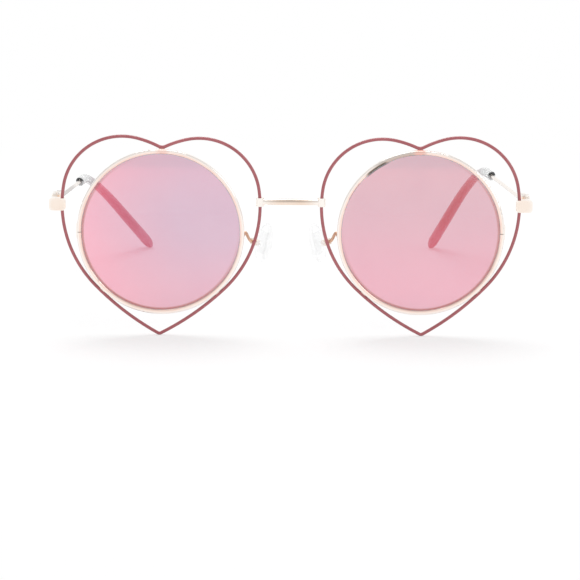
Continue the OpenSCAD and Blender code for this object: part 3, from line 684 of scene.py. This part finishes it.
def heart_half():
    """Half a heart from the notch to the middle of the tip, in the plane of the front."""
    spot, heading, points = Vector((0, 0)), 0.0, [Vector((0, 0))]
    for radius, turn in HEART_ARCS:
        signed = math.copysign(radius, turn)
        middle = spot + signed * Vector((-math.sin(heading), math.cos(heading)))
        steps = round(abs(turn) / ARC_STEP)
        for k in range(1, steps + 1):
            way = heading + math.radians(turn) * k / steps
            points.append(middle + signed * Vector((math.sin(way), -math.cos(way))))
        spot, heading = points[-1], heading + math.radians(turn)
    tip_r = -spot.x / math.sin(heading)
    middle = spot + tip_r * Vector((math.sin(heading), -math.cos(heading)))
    sweep = math.pi + heading
    for k in range(1, TIP_STEPS + 1):
        way = heading - sweep * k / TIP_STEPS
        points.append(middle - tip_r * Vector((math.sin(way), -math.cos(way))))
    return points


half = heart_half()
loop = half + [Vector((-p.x, p.y)) for p in reversed(half[1:-1])]
# Both hearts lean a little towards the nose, about the middle of their rims.
lean = Matrix.Rotation(math.radians(HEART_LEAN), 2)
loop = [lean @ (p + Vector((0, NOTCH_RISE))) for p in loop]
for side_name, side in SIDES.items():
    name = "enamelled_heart_" + side_name
    points = [at((side * (HEART_X + p.x), 0, RIM_HIGH + p.y)) for p in loop]
    show(name, wire_mesh(name, points, WIRE_D, True, enamel, WIRE_ROUND),
         "front", "heart_wire_" + side_name)


# Lenses


def lens_mesh(name, side):
    """A thin curved lens with a bevelled edge; its front faces carry the mirror coating."""
    rows, n = LENS_STEPS, LENS_ROUND
    clear = VIEW_R - LENS_PLAY
    back = math.sqrt(LENS_CURVE ** 2 - VIEW_R ** 2)
    outline = []
    for k in range(1, rows + 1):
        r = clear * k / rows
        outline.append((r, -(math.sqrt((LENS_CURVE + LENS_THICK / 2) ** 2 - r * r) - back)))
    outline += [(clear + BEVEL_STEP, -BEVEL_HALF), (LENS_R, -EDGE_HALF),
                (LENS_R, EDGE_HALF), (clear + BEVEL_STEP, BEVEL_HALF)]
    for k in range(rows, 0, -1):
        r = clear * k / rows
        outline.append((r, -(math.sqrt((LENS_CURVE - LENS_THICK / 2) ** 2 - r * r) - back)))
    ways = [2 * math.pi * j / n for j in range(n)]
    points = [(HEART_X + r * math.cos(way), y, RIM_HIGH + r * math.sin(way))
              for r, y in outline for way in ways]
    faces = [tuple(reversed(f)) for f in rings_to_faces(0, len(outline), n)]
    front = range((rows - 1) * n)
    ends = len(points)
    points += [(HEART_X, -(LENS_CURVE + LENS_THICK / 2 - back), RIM_HIGH),
               (HEART_X, -(LENS_CURVE - LENS_THICK / 2 - back), RIM_HIGH)]
    last = (len(outline) - 1) * n
    count = len(faces)
    faces += [(ends, j, (j + 1) % n) for j in range(n)]
    faces += [(ends + 1, last + (j + 1) % n, last + j) for j in range(n)]
    coated = set(front) | set(range(count, count + n))
    return mesh_of(name, points, faces, [tinted, coating], side, 25, coated)


for side_name, side in SIDES.items():
    show("coated_lens_" + side_name, lens_mesh("coated_lens_" + side_name, side), "front",
         "lens_" + side_name)


# Nose pads and their arms


def at_pad(point):
    """From the pad's own frame, whose Z is the face towards the nose, to the front plane's."""
    return Vector(PAD_SPOT) + turned((-point[2], -point[0], point[1]), ("Z", -PAD_TURN), ("Y", -PAD_SPREAD))


def pad_mesh(name, side):
    """A soft drop shaped pad: flat back, rounded rim and a crowned face."""
    wide, long, thick = PAD_SIZE
    rows = [(0.0, 0.0), (0.5, 0.0), (0.86, 0.0), (0.925, 0.02), (0.97, 0.08), (0.995, 0.17), (1.0, 0.28),
            (0.992, 0.42), (0.965, 0.56), (0.91, 0.7), (0.83, 0.81), (0.72, 0.895), (0.58, 0.95),
            (0.4, 0.985), (0.2, 0.998), (0.0, 1.0)]
    n = PAD_ROUND
    points = []
    for r, z in rows[1:-1]:
        for j in range(n):
            a = 2 * math.pi * j / n
            points.append(at_pad((r * wide / 2 * math.cos(a) * (1 - PAD_TAPER * math.sin(a)),
                                  r * long / 2 * math.sin(a), z * thick)))
    faces = rings_to_faces(0, len(rows) - 2, n)
    start, top = len(points), (len(rows) - 3) * n
    points += [at_pad((0, 0, 0)), at_pad((0, 0, thick))]
    faces += [(start, (j + 1) % n, j) for j in range(n)]
    faces += [(start + 1, top + j, top + (j + 1) % n) for j in range(n)]
    return mesh_of(name, points, faces, [silicone], side, 60)


def bezier(points, t):
    """A point on the curve that these control points pull at."""
    while len(points) > 1:
        points = [a.lerp(b, t) for a, b in zip(points, points[1:])]
    return points[0]


ring_r, arm_way = RIM_R - RIM_WIDE / 2, math.radians(ARM_TURN)
arm_from = Vector((HEART_X + ring_r * math.cos(arm_way), RIM_DEEP / 2, RIM_HIGH + ring_r * math.sin(arm_way)))
arm_to = at_pad((0, 0, -BOX_BACK))
arm_long = (arm_to - arm_from).length
behind_pad = at_pad((0, 0, -arm_long * ARM_IN)) - at_pad((0, 0, 0))
arm_controls = [arm_from, arm_from + Vector((0, arm_long * ARM_OUT, 0)),
                (arm_from + arm_to) / 2 + Vector((0, 0, arm_long * ARM_RISE)), arm_to + behind_pad, arm_to]
for side_name, side in SIDES.items():
    name = "soft_pad_" + side_name
    show(name, pad_mesh(name, side), "pad_" + side_name, "nose_pad_" + side_name)
    name = "bent_pad_arm_" + side_name
    curve = [bezier(arm_controls, k / ARM_STEPS) for k in range(ARM_STEPS + 1)]
    points = [at((side * p.x, p.y, p.z)) for p in curve]
    show(name, wire_mesh(name, points, ARM_D, False, arm_gold, ARM_ROUND),
         "front", "pad_arm_" + side_name)


# Ear sleeves


def ear_path(s):
    """The middle of a temple at a distance from its hinge: backwards, up and turn down."""
    bent = math.radians(EAR_TURN) * EAR_BEND
    if s <= BEND_START:
        return s, 0.0, 0.0
    if s <= BEND_START + bent:
        turn = (s - BEND_START) / EAR_BEND
        return BEND_START + EAR_BEND * math.sin(turn), -EAR_BEND * (1 - math.cos(turn)), turn
    turn, rest = math.radians(EAR_TURN), s - BEND_START - bent
    return (BEND_START + EAR_BEND * math.sin(turn) + rest * math.cos(turn),
            -EAR_BEND * (1 - math.cos(turn)) - rest * math.sin(turn), turn)


def on_temple(point, name):
    """From a temple's own plane to the front plane's frame, as for the left side."""
    roll, drop, toe, _ = TEMPLES[name]
    return HINGE + turned(point, ("Y", roll), ("X", -drop), ("Z", toe))


def sleeve_mesh(name, side):
    """A moulded sleeve that swells towards a rounded tip, with a rolled lip and a bore for the wire."""
    n = SLEEVE_ROUND
    temple_long = TEMPLES[name][3]
    lip = SLEEVE_FRONT[0] / 2 - BORE_R
    cap = CAP_SHARE * SLEEVE_TIP[1]
    body = SLEEVE_LONG - lip - cap
    quarter = math.pi / 2
    ring_list = [SLEEVE_LONG - lip * (1 - math.cos(quarter * i / LIP_STEPS)) for i in range(LIP_STEPS)]
    ring_list += [SLEEVE_LONG - lip - body * i / BODY_STEPS for i in range(BODY_STEPS + 1)]
    ring_list += [cap * (1 - math.sin(quarter * i / CAP_STEPS)) for i in range(1, CAP_STEPS)]
    points = []

    def ring(from_tip, wide, tall):
        back, up, turn = ear_path(temple_long - from_tip)
        for j in range(n):
            a = 2 * math.pi * j / n
            points.append(on_temple((wide * math.cos(a), back + tall * math.sin(a) * math.sin(turn),
                                     up + tall * math.sin(a) * math.cos(turn)), name))

    for e in ring_list:
        t = min(1, max(0, 1 - (e - cap) / (SLEEVE_LONG - cap)))
        grown = t * t * (3 - 2 * t)
        closing = 1 if e >= cap else math.sqrt(max(0, 1 - (1 - e / cap) ** 2))
        trim = lip * (1 - math.sqrt(max(0, 1 - (1 - min(1, (SLEEVE_LONG - e) / lip)) ** 2)))
        ring(e, (SLEEVE_FRONT[0] / 2 + (SLEEVE_TIP[0] - SLEEVE_FRONT[0]) / 2 * grown - trim) * closing,
             (SLEEVE_FRONT[1] / 2 + (SLEEVE_TIP[1] - SLEEVE_FRONT[1]) / 2 * grown - trim) * closing)
    outer = len(points)
    for i in range(BORE_STEPS + 1):
        ring(SLEEVE_LONG - (SLEEVE_LONG - CORE_GAP) * i / BORE_STEPS, BORE_R, BORE_R)
    inner_end = len(points)
    faces = [tuple(reversed(f)) for f in rings_to_faces(0, len(ring_list), n)]
    faces += rings_to_faces(outer, BORE_STEPS + 1, n)
    faces += [(j, (j + 1) % n, outer + (j + 1) % n, outer + j) for j in range(n)]
    back, up, turn = ear_path(temple_long)
    points.append(on_temple((0, back, up), name))
    back, up, turn = ear_path(temple_long - CORE_GAP)
    points.append(on_temple((0, back, up), name))
    last = (len(ring_list) - 1) * n
    faces += [(last + (j + 1) % n, last + j, inner_end) for j in range(n)]
    faces += [(inner_end - n + j, inner_end - n + (j + 1) % n, inner_end + 1) for j in range(n)]
    back, up, turn = ear_path(temple_long - SLEEVE_LONG)
    acetate = material("tumbled_smoky_acetate_" + name, smoky_acetate(at(on_temple((0, back, up), name))))
    return outward(mesh_of("ear_sleeve_" + name, points, faces, [acetate], side, 50))


for side_name, side in SIDES.items():
    show("ear_sleeve_" + side_name, sleeve_mesh(side_name, side), "temple_" + side_name,
         "sleeve_" + side_name)


# Floor, light and camera


def seen(tree):
    """1 where the camera, a reflection or clear material looks, 0 for light on the object."""
    rays = put(tree, "ShaderNodeLightPath").outputs
    first = larger(tree, rays["Is Camera Ray"], rays["Is Glossy Ray"])
    return larger(tree, first, rays["Is Transmission Ray"])


def white_table(tree):
    # A matt white table that keeps the soft shadow near the object and turns to pure white away from it.
    place = put(tree, "ShaderNodeTexCoord").outputs["Object"]
    far = ramp(tree, length_of(tree, place), SHADOW_REACH[0] / MM, SHADOW_REACH[1] / MM)
    looked_at = seen(tree)
    matt = put(tree, "ShaderNodeBsdfDiffuse", {
        "Color": between(tree, looked_at, "#F2F2F2", "#BBBBBB")}).outputs[0]
    glow = put(tree, "ShaderNodeEmission", {
        "Color": srgb("#FFFFFF"), "Strength": times(tree, looked_at, FLOOR_GLOW)}).outputs[0]
    lit = put(tree, "ShaderNodeAddShader", {0: matt, 1: glow}).outputs[0]
    white = put(tree, "ShaderNodeEmission", {"Color": srgb("#FFFFFF"), "Strength": 1.0}).outputs[0]
    away = times(tree, far, looked_at)
    return put(tree, "ShaderNodeMixShader", {0: away, 1: lit, 2: white}).outputs[0]


table_mesh = bpy.data.meshes.new("white_table")
corners = [(x * FLOOR_HALF, y * FLOOR_HALF, 0) for x, y in ((-1, -1), (1, -1), (1, 1), (-1, 1))]
table_mesh.from_pydata(corners, [], [(0, 1, 2, 3)])
table_mesh.materials.append(material("matt_white_table", white_table))
white_floor = bpy.data.objects.new("white_table", table_mesh)
scene.collection.objects.link(white_floor)

world = bpy.data.worlds.new("soft_studio")
scene.world = world
world.use_nodes = True
world.node_tree.nodes.clear()
room = world.node_tree
way = put(room, "ShaderNodeTexCoord").outputs["Generated"]
rays = put(room, "ShaderNodeLightPath").outputs
# Polished metal shows the white backdrop behind the table brighter than the rest of the room.
off = put(room, "ShaderNodeVectorMath", {0: way, 1: BACKDROP_WAY}, operation="DISTANCE").outputs[1]
shown = put(room, "ShaderNodeMapRange", {
    "Value": off, "From Min": BACKDROP_EDGE[0], "From Max": BACKDROP_EDGE[1],
    "To Min": BACKDROP_LEVEL[0], "To Max": BACKDROP_LEVEL[1]}, interpolation_type="SMOOTHSTEP").outputs[0]
levels = {0: rays["Is Glossy Ray"], 2: ROOM_LEVEL, 3: shown}
mirrored = put(room, "ShaderNodeMix", levels, data_type="FLOAT").outputs[0]
plain = larger(room, rays["Is Camera Ray"], rays["Is Transmission Ray"])
strength = put(room, "ShaderNodeMix", {0: plain, 2: mirrored, 3: 1.0}, data_type="FLOAT").outputs[0]
sky = put(room, "ShaderNodeBackground", {"Color": srgb("#FFFFFF"), "Strength": strength})
put(room, "ShaderNodeOutputWorld", {"Surface": sky.outputs[0]})


def soft_lamp(name, place, size, watts):
    """A square soft box that looks at the object, with its place and size in metres."""
    light = bpy.data.lights.new(name, "AREA")
    light.shape, light.size, light.energy = "SQUARE", size, watts
    lamp = bpy.data.objects.new(name, light)
    scene.collection.objects.link(lamp)
    lamp.location = place
    lamp.rotation_mode = "QUATERNION"
    lamp.rotation_quaternion = (-Vector(place)).to_track_quat("-Z", "Y")


soft_lamp("soft_box_above", (-0.1, 0.27, 1.2), 0.85, 7.0)
soft_lamp("soft_box_side", (1.1, -0.7, 0.7), 0.7, 2.0)

view = bpy.data.cameras.new("camera")
view.sensor_width = 36
view.lens = CAMERA_LENS
camera = bpy.data.objects.new("camera", view)
scene.collection.objects.link(camera)
camera.location = at(CAMERA_SPOT)
# The photographed view leans by a hair.
tip = Matrix.Rotation(math.radians(90 - CAMERA_DOWN), 3, "X")
roll = Matrix.Rotation(math.radians(CAMERA_ROLL), 3, "Z")
camera.rotation_euler = (tip @ roll).to_euler()
scene.camera = camera
scene.view_settings.view_transform = "Standard"
